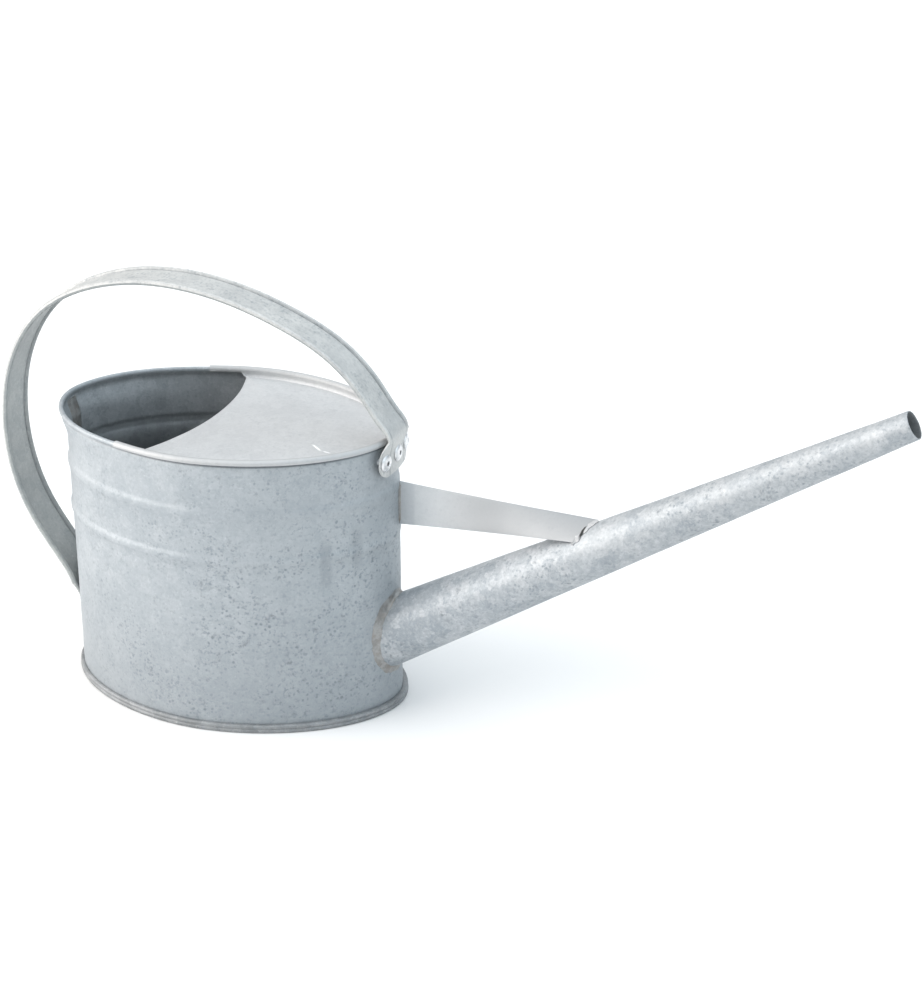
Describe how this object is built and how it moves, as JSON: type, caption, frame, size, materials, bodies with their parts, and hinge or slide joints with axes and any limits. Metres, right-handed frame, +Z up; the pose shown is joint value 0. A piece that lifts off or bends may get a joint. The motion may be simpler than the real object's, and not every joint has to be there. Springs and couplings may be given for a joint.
{
  "type": "watering can",
  "caption": "Small galvanised steel watering can: oval body, half-covered top, riveted hoop strap and a long straight spout with a brace.",
  "frame": {"origin": "on the surface the can stands on, midway along the whole length from the strap's rear to the spout's tip, in the can's plane of symmetry; the body's centre is 0.1117 m behind it", "axes": "+X towards the spout's tip, +Z up, +Y to the can's left seen from behind the strap"},
  "size_m": [0.4762, 0.1262, 0.2195],
  "materials": {
    "body_sheet": "galvanised, matt, light mottling with small dark specks",
    "base_sheet": "galvanised, matt, darker in the seam",
    "cover_sheet": "galvanised, matt, the lightest sheet of the can",
    "strap_steel": "galvanised, matt",
    "spout_sheet": "galvanised, satin, fine spangle with small dark specks",
    "brace_sheet": "galvanised, matt",
    "solder": "dull grey-brown solder, lumpy",
    "rivet_aluminium": "bright satin",
    "mandrel_steel": "dull dark steel"
  },
  "bodies": {
    "root": {"body_wall": "body_sheet", "rim_wire": "body_sheet", "base_plate": "base_sheet", "top_cover": "cover_sheet", "handle_strap": "strap_steel", "spout_brace": "brace_sheet", "spout_tube": "spout_sheet", "spout_root_solder": "solder", "brace_tip_solder": "solder", "brace_root_solder": "solder", "front_rivet_1": "rivet_aluminium", "front_mandrel_1": "mandrel_steel", "front_rivet_2": "rivet_aluminium", "front_mandrel_2": "mandrel_steel", "front_rivet_3": "rivet_aluminium", "front_mandrel_3": "mandrel_steel", "rear_rivet_1": "rivet_aluminium", "rear_mandrel_1": "mandrel_steel", "rear_rivet_2": "rivet_aluminium", "rear_mandrel_2": "mandrel_steel"}
  },
  "joints": []
}
